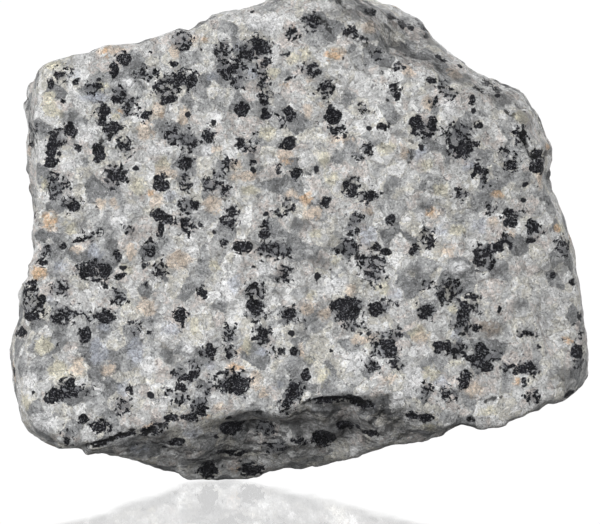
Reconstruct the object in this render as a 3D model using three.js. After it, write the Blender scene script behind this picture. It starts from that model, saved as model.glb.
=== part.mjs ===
// A rough lump of coarse grey granite, broken on every side, standing on its broken underside.
// Millimetres. +X is to the right, +Y away from the broad pale face, +Z up, and the underside lies at Z = 0.
//
// The stone is one solid. Its surface is found by looking out from a point in its middle, the core. In each
// direction the nearest of the broken faces and of the side wall sets how far the stone reaches, with the edges
// between them rounded, and chip scars of several sizes then raise or sink the surface. The underside is cut level.
import * as THREE from "three";
import { mergeVertices } from "three/addons/utils/BufferGeometryUtils.js";

// Driving dimensions.
const SIZE = { width: 95, height: 82, thickness: 54 };
const LEAN = THREE.MathUtils.degToRad(15); // the broad face leans back this far from upright
const CORE = new THREE.Vector3(0.0, 2.7, 34.8); // from the middle of the stone's box, and up from the underside
const GRID_STEP = 2.68; // between two neighbouring points of the surface
const EDGE_SHARPNESS = 40; // higher leaves crisper edges between the faces

// The outline is drawn square to the broad face, [right, up] from the core, clockwise from its top left corner.
const OUTLINE_TOP = [
  [-43.4, 26.2], [-42.6, 27.9], [-41.3, 28.7], [-36.6, 30.0], [-33.8, 30.5], [-32.0, 31.3], [-30.5, 31.6],
  [-25.9, 31.8], [-21.0, 33.6], [-19.8, 34.1], [-17.5, 33.6], [-16.4, 34.4], [-14.1, 36.6], [-12.1, 37.2],
  [-6.9, 38.2], [-5.6, 38.7], [-3.8, 40.5], [-1.3, 41.3], [1.6, 41.5], [5.2, 41.0], [12.6, 39.3], [16.2, 38.4],
  [17.4, 37.5], [19.7, 36.7], [20.7, 35.6], [22.1, 33.1], [24.9, 30.8], [26.9, 29.0], [29.7, 27.2], [31.8, 26.6],
  [33.3, 25.7], [36.6, 24.8], [37.9, 23.8], [38.5, 21.8], [39.7, 20.7], [41.0, 17.4],
];
const OUTLINE_RIGHT = [
  [42.1, 15.1], [42.0, 13.4], [41.0, 10.8], [41.1, 9.5], [42.6, 6.1], [45.1, 0.5], [45.7, -1.6], [45.6, -4.3],
  [46.7, -12.8], [47.4, -16.4], [47.4, -22.0], [46.7, -23.8], [45.6, -25.2], [43.9, -26.4], [42.3, -27.0],
];
const OUTLINE_BOTTOM = [
  [41.0, -26.9], [39.7, -28.0], [38.0, -28.2], [36.7, -29.0], [35.1, -29.2], [33.9, -30.3], [32.6, -30.7],
  [29.0, -30.7], [26.2, -29.8], [24.8, -30.2], [22.8, -31.6], [21.3, -32.5], [14.3, -33.4], [10.2, -34.8],
  [5.2, -35.9], [2.3, -36.4], [0.3, -37.2], [-3.6, -37.2], [-5.6, -37.7], [-7.5, -38.9], [-15.2, -39.7],
  [-17.0, -39.5], [-18.4, -38.9], [-19.7, -37.5], [-25.9, -35.7], [-29.5, -34.8], [-31.6, -34.3],
  [-34.1, -34.6], [-34.8, -33.6], [-39.0, -33.8], [-41.3, -33.0], [-43.8, -31.3], [-45.1, -29.5],
];
const OUTLINE_LEFT = [
  [-45.9, -26.6], [-46.7, -23.0], [-47.4, -17.7], [-46.6, -15.4], [-45.6, -12.8], [-45.6, -10.8],
  [-45.9, -8.9], [-45.1, -7.2], [-43.9, -6.2], [-43.9, -4.3], [-43.1, -2.8], [-43.6, 0.8], [-43.1, 3.6],
  [-43.3, 7.0], [-44.4, 12.3], [-44.6, 15.4], [-44.3, 18.0], [-44.8, 21.3], [-44.3, 23.4],
];
const OUTLINE = [...OUTLINE_TOP, ...OUTLINE_RIGHT, ...OUTLINE_BOTTOM, ...OUTLINE_LEFT];

// The side wall follows the outline over a band in front of the core, and draws in before and behind it.
const WALL = {
  middle: 13, // out from the core, towards the broad face
  waver: [ // of that middle, as the wall goes round
    { much: 3.5, times: 3, phase: 1 },
    { much: 2.5, times: 7, phase: 2 },
  ],
  straight: 2, // half the depth of the band that keeps the full outline
  slope: { before: 0.002, behind: 0.0035 }, // share of the radius lost for each millimetre, far from the band
  bend: 4, // how far beyond the band the wall takes to reach that slope
  ends: 32, // the wall is the same beyond this depth, which lies outside the stone
  detailDepth: { before: 16, behind: 7 }, // how far beyond the band the small notches of the outline last
  smoothing: THREE.MathUtils.degToRad(7), // spacing of the radii averaged where the notches have gone
  calmDepth: { before: 10, behind: 4 }, // how far beyond the band the chip scars are held back
  drop: { before: 0.3, behind: 2 }, // how far the wall sinks past that, so that no scar stands out past the outline
};

// The broken faces. Each passes through a point and faces along a direction, both [right, up, out] from the core.
const FRONT_DEPTH = 25.5;
const BACK_DEPTH = SIZE.thickness - FRONT_DEPTH;
const BROAD_FACES = {
  broadLeft: { through: [-10, 0, FRONT_DEPTH], facing: [-0.05, 0.03, 1] },
  broadRight: { through: [20, 0, FRONT_DEPTH + 1.2], facing: [0.2, 0.02, 1] },
};
const OTHER_FACES = {
  brow: { through: [-8, 35, FRONT_DEPTH - 1], facing: [-0.1, 0.62, 0.78] },
  shoulder: { through: [11.2, 31.9, FRONT_DEPTH + 0.6], facing: [0.43, 0.76, 0.48] },
  shoulderEnd: { through: [39.5, 13.5, 20.5], facing: [0.9, 0.28, 0.36] },
  leftBand: { through: [-42, 26, 22.5], facing: [-0.937, 0.064, 0.342] },
  lowerLeft: { through: [-46, -33, 17], facing: [-0.6, -0.55, 0.58] },
  back: { through: [2, -10, -BACK_DEPTH], facing: [0.1, 0.3, -1] },
  backLeft: { through: [-34, 4, -20], facing: [-0.75, 0.3, -0.62] },
  backRight: { through: [34, -4, -17], facing: [0.78, 0.16, -0.62] },
  backTop: { through: [-6, 30, -16], facing: [-0.2, 0.84, -0.5] },
  backTopRight: { through: [27, 22, -8], facing: [0.62, 0.66, -0.4] },
  backLow: { through: [35, -27, -8], facing: [0.6, -0.66, -0.3] },
};

// Hollows left by flakes that broke off. In each, a face runs in under the ones beside it and ends against a second.
const FLAKES = {
  undercut: [
    { through: [-8, -28.5, FRONT_DEPTH + 0.6], facing: [0.121, -0.81, 0.574] },
    { through: [18, -27.4, FRONT_DEPTH + 0.7], facing: [-0.33, -0.55, 0.77] },
  ],
  rightNotch: [
    { through: [41, 9.5, 14], facing: [0.75, -0.62, 0.2] },
    { through: [41, 10.8, 14], facing: [0.62, 0.75, 0.2] },
  ],
  backScar: [
    { through: [-12, 24, -22], facing: [-0.3, 0.75, -0.6] },
    { through: [-12, 16, -27], facing: [0.5, 0.1, -0.86] },
  ],
};

// Chip scars: patches of about one cell, each lifted or sunk by up to its level and tipped by up to its tilt.
// The blend says how softly a scar runs into the next, as a share of its cell squared.
const SCARS = [
  { cell: 21, level: 0.8, tilt: 0.08, blend: 0.075, salt: 1 },
  { cell: 10, level: 0.55, tilt: 0.12, blend: 0.15, salt: 2 },
  { cell: 5.2, level: 0.3, tilt: 0.1, blend: 0.28, salt: 3 },
];
const ROUGHER_OFF_THE_BROAD_FACE = 2; // times the scars of the broad face
const BROAD_FACE_ENDS = 0.8; // nearness beside the nearest face's, at which a face has given way to it
const WALL_BEGINS = 0.85;

// The lowest part of the stone is drawn down a little before the underside is cut level, so that most of it is cut.
const UNDERSIDE = { drawDown: 0.9, drawnUpTo: 9 };

const cross = (a, b) => a[0] * b[1] - a[1] * b[0];

/** How far the outline lies from the core at an angle from the right, where its line crosses that ray. */
function outlineRadius(angle) {
  const ray = [Math.cos(angle), Math.sin(angle)];
  for (let i = 0; i < OUTLINE.length; i++) {
    const from = OUTLINE[i];
    const to = OUTLINE[(i + 1) % OUTLINE.length];
    const crossed = cross(from, ray) <= 0 && cross(ray, to) < 0;
    if (crossed && from[0] * ray[0] + from[1] * ray[1] > 0) {
      return cross(from, to) / cross(ray, [to[0] - from[0], to[1] - from[1]]);
    }
  }
  throw new Error(`the outline has no point at angle ${angle}`);
}

/** The outline without its small notches: the mean of five radii around the angle. */
function smoothRadius(angle) {
  const turns = [-2, -1, 0, 1, 2];
  return turns.reduce((sum, turn) => sum + outlineRadius(angle + turn * WALL.smoothing), 0) / turns.length;
}

/**
 * The side wall along a direction, which draws in away from its band: its nearness, which is 1 / its reach, and how
 * calm its chip scars are there, from 0 to 1.
 */
function sideWall({ x, y, z }) {
  const flat = Math.hypot(x, y);
  if (flat < 1e-6) return { nearness: 0, calm: 0 };
  const angle = Math.atan2(y, x);
  const smooth = smoothRadius(angle);
  const depth = THREE.MathUtils.clamp((smooth * z) / flat, -WALL.ends, WALL.ends);
  const waver = WALL.waver.reduce((sum, { much, times, phase }) => sum + much * Math.sin(times * angle + phase), 0);
  const fromMiddle = depth - WALL.middle - waver;
  const beyond = Math.max(0, Math.abs(fromMiddle) - WALL.straight);
  const side = fromMiddle > 0 ? "before" : "behind";
  const detail = Math.exp(-((beyond / WALL.detailDepth[side]) ** 2));
  const drawnIn = WALL.slope[side] * (Math.hypot(beyond, WALL.bend) - WALL.bend);
  const calm = Math.exp(-((beyond / WALL.calmDepth[side]) ** 2));
  const drop = WALL.drop[side] * (1 - calm);
  const radius = (smooth + (outlineRadius(angle) - smooth) * detail) * (1 - drawnIn) - drop;
  return { nearness: flat / radius, calm };
}

/** 1 / reach of a flat face along a direction, or a negative number where the direction points away from it. */
function faceNearness({ through, facing }, direction) {
  const outward = new THREE.Vector3(...facing);
  return outward.dot(direction) / outward.dot(new THREE.Vector3(...through));
}

/** A steady random number from 0 to 1 for a cell of the scars' grid. */
function random(i, j, k, salt) {
  const turned = Math.sin(i * 127.1 + j * 311.7 + k * 74.7 + salt * 53.3) * 43758.5453;
  return turned - Math.floor(turned);
}

/** Height of one size of chip scars at a point: a blend of the tipped patches around it, nearest first. */
function scarHeight(point, { cell, level, tilt, blend, salt }) {
  const home = point.clone().divideScalar(cell).floor();
  let height = 0;
  let weight = 0;
  for (let n = 0; n < 27; n++) {
    const i = home.x + (n % 3) - 1;
    const j = home.y + (Math.floor(n / 3) % 3) - 1;
    const k = home.z + Math.floor(n / 9) - 1;
    const draw = (what) => random(i, j, k, 10 * salt + what);
    const dx = point.x / cell - i - draw(0);
    const dy = point.y / cell - j - draw(1);
    const dz = point.z / cell - k - draw(2);
    const near = Math.exp(-(dx * dx + dy * dy + dz * dz) / blend);
    const tipped = (draw(4) - 0.5) * dx + (draw(5) - 0.5) * dy + (draw(6) - 0.5) * dz;
    height += near * ((draw(3) - 0.5) * 2 * level + tipped * 2 * tilt * cell);
    weight += near;
  }
  return height / weight;
}

/** The point of the stone's surface in a direction from the core, in the stone's own frame. */
function surfacePoint(direction) {
  const broad = Math.max(...Object.values(BROAD_FACES).map((face) => faceNearness(face, direction)));
  const wall = sideWall(direction);
  const others = Object.values(OTHER_FACES).map((face) => faceNearness(face, direction));
  const flakes = Object.values(FLAKES).map((pair) => Math.min(...pair.map((face) => faceNearness(face, direction))));
  const all = [broad, wall.nearness, ...others, ...flakes];
  const summed = all.reduce((sum, nearness) => sum + Math.max(0, nearness) ** EDGE_SHARPNESS, 0);
  const nearness = summed ** (1 / EDGE_SHARPNESS);
  const point = direction.clone().divideScalar(nearness);

  const { smoothstep } = THREE.MathUtils;
  const offBroadFace = 1 - smoothstep(broad / nearness, BROAD_FACE_ENDS, 1);
  const onWall = smoothstep(wall.nearness / nearness, WALL_BEGINS, 1);
  const roughness = (1 + (ROUGHER_OFF_THE_BROAD_FACE - 1) * offBroadFace) * (1 - wall.calm * onWall);
  const relief = SCARS.reduce((sum, scars) => sum + scarHeight(point, scars), 0) * roughness;
  point.addScaledVector(direction.clone().normalize(), relief);

  // Stand the drawing upright, leaning back, with the core at its height over the underside.
  point.applyAxisAngle(new THREE.Vector3(1, 0, 0), Math.PI / 2 - LEAN);
  const fade = 1 - smoothstep(point.z + CORE.z, UNDERSIDE.drawDown, UNDERSIDE.drawnUpTo);
  point.z -= UNDERSIDE.drawDown * fade;
  if (point.z < -CORE.z) {
    point.multiplyScalar(CORE.z / -point.z);
  }
  return point.add(CORE);
}

/** The stone's surface: a box's grid of points, each moved along its ray from the core to the broken surface. */
function stoneGeometry() {
  const { width, height, thickness } = SIZE;
  const steps = [width, height, thickness].map((side) => Math.round(side / GRID_STEP));
  const box = new THREE.BoxGeometry(width, height, thickness, ...steps);
  box.deleteAttribute("normal");
  box.deleteAttribute("uv");
  const geometry = mergeVertices(box);
  const points = geometry.getAttribute("position");
  for (let i = 0; i < points.count; i++) {
    const point = surfacePoint(new THREE.Vector3().fromBufferAttribute(points, i));
    points.setXYZ(i, point.x, point.y, Math.abs(point.z) < 1e-6 ? 0 : point.z);
  }
  geometry.computeVertexNormals();
  return geometry;
}

const granite = new THREE.MeshStandardMaterial({ color: "#b4b3ae", roughness: 0.8, metalness: 0 });
const stone = new THREE.Mesh(stoneGeometry(), granite);
stone.name = "granite_stone";

const part = new THREE.Group();
part.add(stone);

export default part;
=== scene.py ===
"""Dresses the rough rock: a lump of coarse grey granite with black mica, on a pale glossy studio floor.

Millimetres inside the stone's own classes, metres in every mesh. The stone's surface is found by looking out from a
point in its middle, the core, along [right, up, out], where out is square to the broad pale face. Places on that
face are read from the photograph in pixels, which Photograph turns into millimetres.
"""

import logging
import math
from dataclasses import dataclass, field
from enum import Enum

import bpy
import numpy as np
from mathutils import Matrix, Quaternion, Vector


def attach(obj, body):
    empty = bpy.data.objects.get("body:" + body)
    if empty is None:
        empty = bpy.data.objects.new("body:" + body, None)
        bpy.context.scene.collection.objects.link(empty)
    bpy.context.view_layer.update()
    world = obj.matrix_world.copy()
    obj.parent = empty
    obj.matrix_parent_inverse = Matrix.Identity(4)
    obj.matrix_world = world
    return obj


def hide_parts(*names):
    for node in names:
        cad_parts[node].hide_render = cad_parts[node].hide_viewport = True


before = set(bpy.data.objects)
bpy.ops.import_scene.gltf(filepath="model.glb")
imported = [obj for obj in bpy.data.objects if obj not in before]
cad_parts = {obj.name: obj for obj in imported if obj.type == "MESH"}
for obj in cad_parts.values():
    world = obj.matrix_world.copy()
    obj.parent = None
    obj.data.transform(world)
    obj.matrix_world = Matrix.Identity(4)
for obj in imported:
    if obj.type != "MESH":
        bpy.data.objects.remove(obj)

LOG = logging.getLogger("rough_rock")
MM = 0.001
DRAWS = 10  # random numbers kept for each set of scars or grains
OUTSIDE = -9.0  # a depth well outside every grain, in millimetres
FAR = 99.0  # a distance well beyond every crack, in millimetres

Row = tuple[float, ...]
Points = np.ndarray
Socket = bpy.types.NodeSocket


class Mineral(Enum):
    """The kinds of grain that are placed on the stone, each kept as one attribute of its mesh."""

    MICA = "mica"
    FLECKED = "flecked"
    SMOKY_AND_SHADE = "smoky_and_shade"
    RUST = "rust"
    PEACH = "peach"
    CREAM = "cream"
    WHITE = "white"
    BLUISH = "bluish"


# Grains seen on the broad face: middle across, middle down, width and height in pixels of the photograph, and the
# turn in degrees, counted clockwise.
PLACED: dict[Mineral, tuple[Row, ...]] = {
    Mineral.MICA: (
        (53, 84, 6, 12), (64, 75, 9, 6, -20), (79, 82, 11, 5, -20), (125, 60, 18, 12), (116, 72, 9, 15),
        (144, 72, 7, 10), (175, 66, 9, 6), (181, 80, 9, 15), (192, 82, 12, 16), (171, 100, 14, 8), (184, 42, 10, 6),
        (103, 121, 8, 11), (107, 112, 8, 12), (114, 128, 14, 9), (123, 129, 10, 5), (66, 103, 5, 4),
        (72, 131, 12, 15), (54, 147, 11, 26), (53, 163, 15, 10), (79, 150, 8, 5), (100, 154, 11, 18),
        (187, 163, 13, 11), (218, 40, 3, 13), (222, 50, 6, 10), (247, 57, 14, 8), (261, 48, 15, 16),
        (284, 56, 10, 3), (266, 65, 8, 9), (289, 80, 14, 3, -15), (370, 14, 13, 8), (391, 18, 8, 6),
        (402, 24, 11, 8, 20), (411, 28, 8, 6), (426, 36, 5, 4), (324, 88, 6, 6), (396, 98, 6, 9),
        (242, 111, 15, 13), (265, 103, 9, 7), (266, 115, 10, 9), (290, 115, 9, 15), (290, 144, 12, 14),
        (281, 147, 6, 4), (333, 118, 16, 17), (382, 128, 12, 8), (211, 138, 7, 11), (242, 145, 9, 10),
        (296, 174, 11, 13), (279, 169, 5, 9, 20), (431, 82, 12, 7, 20), (446, 88, 14, 8, 20), (470, 102, 7, 6),
        (415, 125, 13, 14), (431, 126, 9, 14), (467, 148, 7, 10), (478, 126, 9, 5), (475, 170, 7, 17, 15),
        (511, 166, 11, 8), (497, 90, 8, 6), (537, 168, 17, 12), (541, 154, 19, 10), (545, 130, 5, 16, -15),
        (540, 118, 4, 6), (503, 84, 16, 3, 25), (440, 60, 14, 3, 35), (358, 38, 18, 3, 25), (522, 138, 5, 16, -20),
        (480, 92, 14, 3, 30), (116, 177, 12, 10), (124, 178, 8, 9), (37, 211, 5, 18), (75, 206, 13, 10),
        (163, 187, 15, 11), (162, 179, 11, 4), (159, 215, 14, 9), (169, 220, 13, 11), (162, 230, 7, 17),
        (196, 205, 8, 8), (101, 233, 6, 5), (79, 241, 11, 5), (65, 246, 7, 6), (119, 256, 8, 11), (45, 263, 13, 7),
        (31, 265, 5, 9), (89, 272, 15, 12), (107, 271, 11, 15), (105, 285, 5, 12, -15), (122, 276, 12, 5, -20),
        (152, 254, 9, 6), (145, 265, 5, 6), (148, 285, 5, 5), (35, 285, 8, 12), (203, 292, 7, 12, -15),
        (44, 298, 9, 9), (33, 316, 18, 9), (32, 325, 14, 6), (23, 332, 15, 9), (18, 346, 19, 18), (15, 372, 7, 9),
        (61, 317, 12, 11), (106, 317, 16, 12), (87, 334, 11, 16), (180, 315, 13, 15), (184, 326, 6, 9),
        (131, 322, 6, 4), (232, 213, 8, 12), (231, 225, 9, 8), (242, 247, 20, 11), (225, 244, 7, 6),
        (265, 234, 10, 9), (201, 225, 5, 5), (325, 203, 9, 12), (346, 186, 9, 6), (352, 193, 10, 12),
        (371, 196, 13, 7), (366, 204, 5, 5), (375, 247, 9, 8), (385, 252, 9, 7), (337, 251, 6, 6), (356, 258, 6, 7),
        (390, 220, 7, 9), (344, 304, 26, 13), (350, 314, 22, 9), (375, 307, 13, 11), (390, 303, 5, 8),
        (255, 285, 7, 6), (256, 306, 14, 16), (263, 333, 12, 13), (290, 313, 11, 11), (430, 240, 6, 16),
        (411, 250, 7, 8), (549, 187, 4, 10, -30), (506, 213, 9, 8), (510, 223, 14, 8), (530, 227, 10, 14),
        (529, 241, 7, 4), (502, 236, 5, 10), (497, 247, 9, 9), (476, 259, 9, 8), (491, 264, 5, 10),
        (550, 276, 5, 7), (571, 282, 6, 5), (470, 297, 18, 6), (463, 306, 9, 13), (458, 317, 7, 12),
        (424, 309, 11, 9), (421, 316, 9, 6), (578, 316, 5, 7), (498, 308, 3, 6), (475, 328, 9, 5),
        (440, 296, 5, 11), (57, 394, 16, 14), (72, 384, 11, 12), (77, 393, 7, 6), (99, 391, 11, 6),
        (85, 418, 10, 10), (82, 424, 7, 5), (101, 426, 14, 8), (172, 416, 14, 8), (190, 376, 20, 7, -15),
        (182, 386, 11, 7), (132, 390, 5, 14, -15), (93, 439, 4, 8), (68, 440, 4, 8), (211, 349, 9, 11),
        (236, 384, 22, 18), (222, 372, 12, 4, -15), (294, 351, 9, 8), (306, 373, 7, 10), (294, 391, 10, 18, 20),
        (287, 402, 9, 9), (205, 410, 5, 8), (386, 343, 14, 10), (391, 351, 11, 10), (438, 346, 11, 11),
        (446, 346, 7, 12), (479, 350, 12, 14), (474, 357, 18, 5), (486, 366, 12, 9), (464, 375, 7, 12),
        (461, 384, 8, 7), (444, 393, 10, 5), (503, 378, 6, 8, -30), (522, 380, 7, 9), (520, 367, 11, 7),
        (536, 406, 13, 8), (568, 394, 12, 6, -20), (576, 351, 15, 13), (411, 414, 13, 7), (425, 416, 14, 8),
        (469, 418, 5, 5), (230, 426, 12, 11), (243, 421, 9, 4), (215, 430, 8, 4), (270, 427, 10, 9),
        (322, 439, 18, 12), (344, 424, 11, 9), (272, 446, 13, 5), (350, 445, 18, 5), (208, 471, 10, 6),
        (209, 460, 13, 5), (252, 466, 15, 6), (230, 450, 26, 3), (397, 434, 8, 5), (103, 441, 22, 4, -14),
        (126, 434, 24, 5, -12), (150, 430, 22, 6, -5), (328, 398, 34, 6, -4), (362, 402, 26, 7, 8),
        (350, 397, 20, 5), (190, 415, 12, 6), (232, 426, 24, 13), (323, 436, 26, 17), (272, 428, 22, 12),
        (208, 466, 18, 12), (252, 466, 22, 9), (344, 424, 18, 10), (300, 440, 16, 6), (178, 440, 14, 5),
        (245, 448, 22, 5), (370, 432, 14, 6),
    ),
    Mineral.FLECKED: (
        (64, 76, 15, 10), (128, 70, 16, 16), (148, 76, 22, 11), (168, 91, 25, 26), (183, 42, 16, 20),
        (186, 82, 24, 20), (93, 89, 13, 10), (123, 97, 15, 17), (131, 106, 13, 18, 20), (104, 114, 14, 17),
        (112, 132, 17, 14), (147, 117, 7, 10), (60, 140, 16, 20), (125, 146, 13, 17), (174, 137, 12, 20),
        (188, 141, 22, 16), (186, 163, 17, 13), (117, 176, 22, 24), (34, 137, 7, 22), (40, 128, 5, 4),
        (224, 54, 18, 18), (256, 51, 32, 22), (232, 71, 26, 18), (240, 82, 14, 16), (263, 78, 7, 26),
        (292, 35, 10, 13), (312, 24, 15, 17), (349, 34, 12, 9), (377, 58, 8, 9), (396, 70, 6, 7), (310, 72, 20, 11),
        (326, 91, 20, 15), (393, 93, 14, 14), (267, 99, 9, 12), (282, 123, 10, 16), (337, 130, 13, 12),
        (210, 137, 11, 16), (243, 147, 13, 12), (253, 151, 5, 24), (227, 166, 15, 13), (365, 112, 8, 8),
        (366, 150, 8, 9), (358, 157, 10, 8), (418, 19, 9, 6), (423, 26, 7, 18), (423, 131, 24, 16),
        (445, 92, 22, 11, 20), (434, 104, 6, 9), (466, 110, 11, 14), (458, 143, 30, 32), (486, 84, 9, 8),
        (503, 155, 9, 13), (509, 165, 14, 13), (519, 137, 9, 16, -20), (541, 162, 20, 18), (483, 177, 15, 16),
        (58, 190, 14, 18), (66, 184, 9, 12), (55, 180, 8, 10), (74, 204, 17, 14), (42, 214, 5, 16),
        (188, 206, 17, 13), (187, 226, 12, 18), (187, 181, 12, 20), (130, 229, 8, 12), (91, 237, 10, 6),
        (48, 250, 10, 14, 35), (38, 258, 13, 7), (97, 270, 34, 24), (161, 270, 12, 16), (150, 249, 12, 12),
        (30, 292, 13, 15), (35, 305, 22, 24), (62, 288, 17, 15), (65, 313, 18, 17), (80, 312, 20, 6),
        (89, 316, 7, 6), (88, 332, 14, 19), (119, 296, 12, 16), (106, 316, 19, 15), (137, 328, 10, 8),
        (20, 340, 23, 26), (214, 185, 15, 11), (218, 177, 8, 8), (227, 194, 12, 13), (231, 218, 13, 26),
        (350, 188, 16, 19), (367, 197, 23, 11), (288, 205, 13, 12), (277, 213, 12, 5), (266, 228, 9, 16),
        (271, 250, 22, 16), (284, 252, 13, 14), (285, 273, 11, 18), (255, 291, 15, 17), (256, 308, 19, 22),
        (262, 334, 16, 22), (231, 333, 13, 15), (231, 350, 11, 13), (290, 314, 15, 14), (357, 219, 14, 9),
        (352, 231, 8, 12), (350, 248, 15, 20), (371, 262, 22, 16), (373, 275, 22, 20), (346, 309, 32, 24),
        (354, 325, 20, 9), (377, 308, 17, 14), (389, 334, 22, 9), (427, 237, 9, 20), (416, 245, 10, 11),
        (459, 196, 13, 11), (488, 208, 8, 9), (510, 218, 17, 17), (530, 229, 13, 18), (504, 243, 12, 10),
        (482, 257, 22, 26), (556, 268, 28, 24), (562, 247, 17, 13), (424, 284, 8, 8), (448, 291, 24, 22),
        (468, 307, 18, 16), (462, 324, 16, 20), (425, 310, 16, 14), (524, 332, 15, 7), (577, 330, 6, 14),
        (69, 387, 20, 18), (86, 388, 16, 4), (74, 428, 13, 9), (125, 404, 13, 14), (103, 424, 18, 13),
        (69, 434, 8, 14), (168, 392, 16, 5), (181, 397, 13, 11), (178, 373, 9, 10), (199, 406, 17, 20),
        (196, 367, 9, 11), (208, 352, 17, 12), (235, 382, 30, 26), (210, 385, 14, 13), (278, 351, 14, 8),
        (294, 390, 14, 22, 20), (286, 402, 13, 11), (382, 346, 28, 24), (372, 363, 15, 12), (395, 362, 12, 10),
        (455, 350, 18, 17), (480, 358, 25, 22), (463, 378, 11, 20), (444, 393, 16, 9), (425, 388, 14, 7),
        (507, 365, 14, 7), (525, 367, 22, 15), (518, 390, 6, 16), (535, 405, 20, 12), (494, 355, 9, 7),
        (530, 395, 12, 9), (578, 362, 7, 10), (466, 411, 6, 10), (248, 434, 12, 8), (268, 428, 16, 14),
        (286, 433, 11, 9), (324, 435, 26, 20), (343, 424, 16, 13), (275, 446, 24, 11), (292, 453, 22, 8),
        (208, 466, 18, 14), (252, 465, 24, 10), (160, 426, 18, 12),
    ),
    # Smoky quartz. The wide patches over the underside along the bottom are painted shade, and those on the shoulder
    # at the top right are partly painted shade.
    Mineral.SMOKY_AND_SHADE: (
        (75, 116, 10, 9), (66, 117, 7, 7), (84, 224, 14, 14), (137, 232, 12, 10), (113, 243, 14, 14),
        (385, 67, 16, 12), (344, 108, 8, 7), (397, 135, 10, 9), (404, 137, 9, 8), (255, 246, 12, 9),
        (302, 334, 15, 8), (215, 323, 9, 8), (283, 293, 8, 7), (490, 328, 32, 16), (553, 268, 30, 18),
        (515, 305, 18, 12), (68, 345, 10, 12), (33, 338, 11, 6), (140, 342, 8, 9), (165, 347, 12, 14),
        (172, 356, 14, 14), (395, 425, 24, 18), (560, 373, 30, 16), (430, 40, 30, 14, 35), (460, 80, 24, 16),
        (500, 100, 26, 14, 25), (525, 120, 18, 22), (400, 50, 28, 12, 30), (345, 15, 34, 12), (300, 225, 30, 14),
        (175, 80, 14, 8), (240, 230, 20, 8), (318, 260, 20, 14), (515, 90, 16, 8), (343, 400, 72, 14),
        (200, 442, 110, 22), (330, 425, 90, 26), (150, 432, 50, 14), (240, 5, 40, 6), (205, 20, 20, 8),
        (420, 205, 14, 12), (410, 272, 22, 12), (500, 270, 18, 12),
    ),
    Mineral.RUST: (
        (109, 54, 6, 9), (80, 57, 14, 4), (38, 73, 7, 9), (52, 222, 14, 10), (40, 273, 15, 13), (152, 194, 8, 8),
        (306, 200, 13, 13), (333, 57, 16, 10), (287, 162, 14, 4), (206, 41, 7, 5), (555, 229, 6, 7),
        (548, 147, 7, 6), (437, 57, 9, 6), (238, 367, 12, 7), (429, 214, 9, 9), (517, 380, 9, 8), (503, 401, 9, 4),
        (293, 28, 5, 5), (237, 465, 7, 7), (567, 339, 11, 8), (49, 217, 4, 4), (163, 117, 6, 6), (208, 416, 8, 4),
        (150, 425, 12, 7), (285, 86, 9, 4), (122, 113, 4, 4), (496, 195, 12, 5),
    ),
    Mineral.PEACH: (
        (112, 52, 26, 9), (83, 58, 24, 5), (147, 132, 15, 22), (160, 112, 12, 17), (184, 118, 11, 17),
        (176, 54, 12, 14), (196, 42, 10, 10), (157, 200, 14, 18), (103, 205, 12, 12), (116, 203, 9, 10),
        (53, 222, 16, 18), (168, 173, 22, 11), (336, 57, 22, 14), (368, 29, 17, 15), (312, 82, 11, 5),
        (309, 112, 13, 15), (322, 106, 7, 7), (211, 37, 12, 9), (215, 150, 12, 8), (236, 166, 16, 12),
        (286, 155, 20, 9), (340, 140, 26, 9), (245, 178, 28, 10), (214, 205, 20, 18), (313, 213, 20, 14),
        (292, 195, 12, 10), (368, 212, 11, 8), (350, 290, 14, 11), (308, 309, 12, 16), (326, 312, 13, 15),
        (180, 260, 26, 20), (80, 248, 15, 8), (133, 252, 12, 18), (148, 306, 20, 18), (255, 378, 13, 20),
        (264, 392, 13, 11), (236, 367, 18, 9), (365, 338, 30, 10), (222, 404, 12, 8), (432, 216, 14, 13),
        (446, 251, 19, 9), (537, 178, 8, 20), (493, 222, 11, 9), (510, 232, 12, 7), (427, 106, 11, 15),
        (407, 73, 11, 9), (438, 57, 13, 8), (453, 76, 16, 13), (403, 152, 9, 18), (570, 239, 9, 9),
        (470, 388, 22, 14), (466, 402, 10, 16), (516, 380, 12, 9), (560, 336, 16, 14), (485, 328, 22, 12),
        (80, 366, 14, 17), (110, 368, 12, 12), (390, 378, 14, 10), (30, 150, 6, 10), (302, 350, 5, 16),
        (240, 350, 8, 10), (420, 335, 16, 14), (40, 273, 20, 17),
    ),
    Mineral.CREAM: (
        (51, 106, 15, 26), (59, 115, 10, 10), (56, 66, 20, 10), (117, 117, 12, 8), (105, 88, 12, 8),
        (140, 186, 16, 20), (47, 185, 8, 14), (72, 229, 14, 14), (165, 166, 16, 14), (294, 60, 15, 12),
        (273, 74, 16, 10), (306, 56, 9, 13), (386, 149, 20, 14), (324, 160, 9, 16), (268, 134, 18, 14),
        (332, 178, 14, 12), (215, 265, 13, 10), (310, 295, 10, 10), (380, 288, 15, 12), (322, 375, 11, 20),
        (311, 358, 16, 5), (247, 345, 11, 15), (337, 259, 12, 8), (28, 401, 17, 14), (45, 344, 18, 20),
        (98, 400, 20, 11), (115, 415, 8, 8), (418, 332, 20, 14), (448, 292, 14, 13), (452, 307, 9, 11),
        (455, 362, 14, 7), (430, 372, 20, 12), (497, 386, 10, 9), (430, 425, 13, 7), (440, 190, 14, 14),
        (456, 230, 16, 14), (560, 228, 10, 11), (425, 165, 14, 12), (60, 370, 22, 18), (128, 268, 12, 12),
        (195, 325, 12, 20), (520, 118, 16, 14), (250, 192, 18, 10), (160, 60, 20, 12), (315, 235, 14, 8),
        (485, 410, 18, 10),
    ),
    Mineral.WHITE: (
        (266, 24, 38, 22), (128, 86, 17, 12), (72, 165, 26, 12), (120, 221, 20, 16), (446, 108, 20, 16),
        (485, 290, 26, 32), (455, 268, 24, 14), (412, 380, 20, 32), (398, 397, 16, 14), (545, 325, 14, 12),
        (495, 155, 18, 12), (160, 150, 26, 10), (215, 398, 14, 9), (355, 360, 26, 20), (335, 285, 22, 20),
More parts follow.
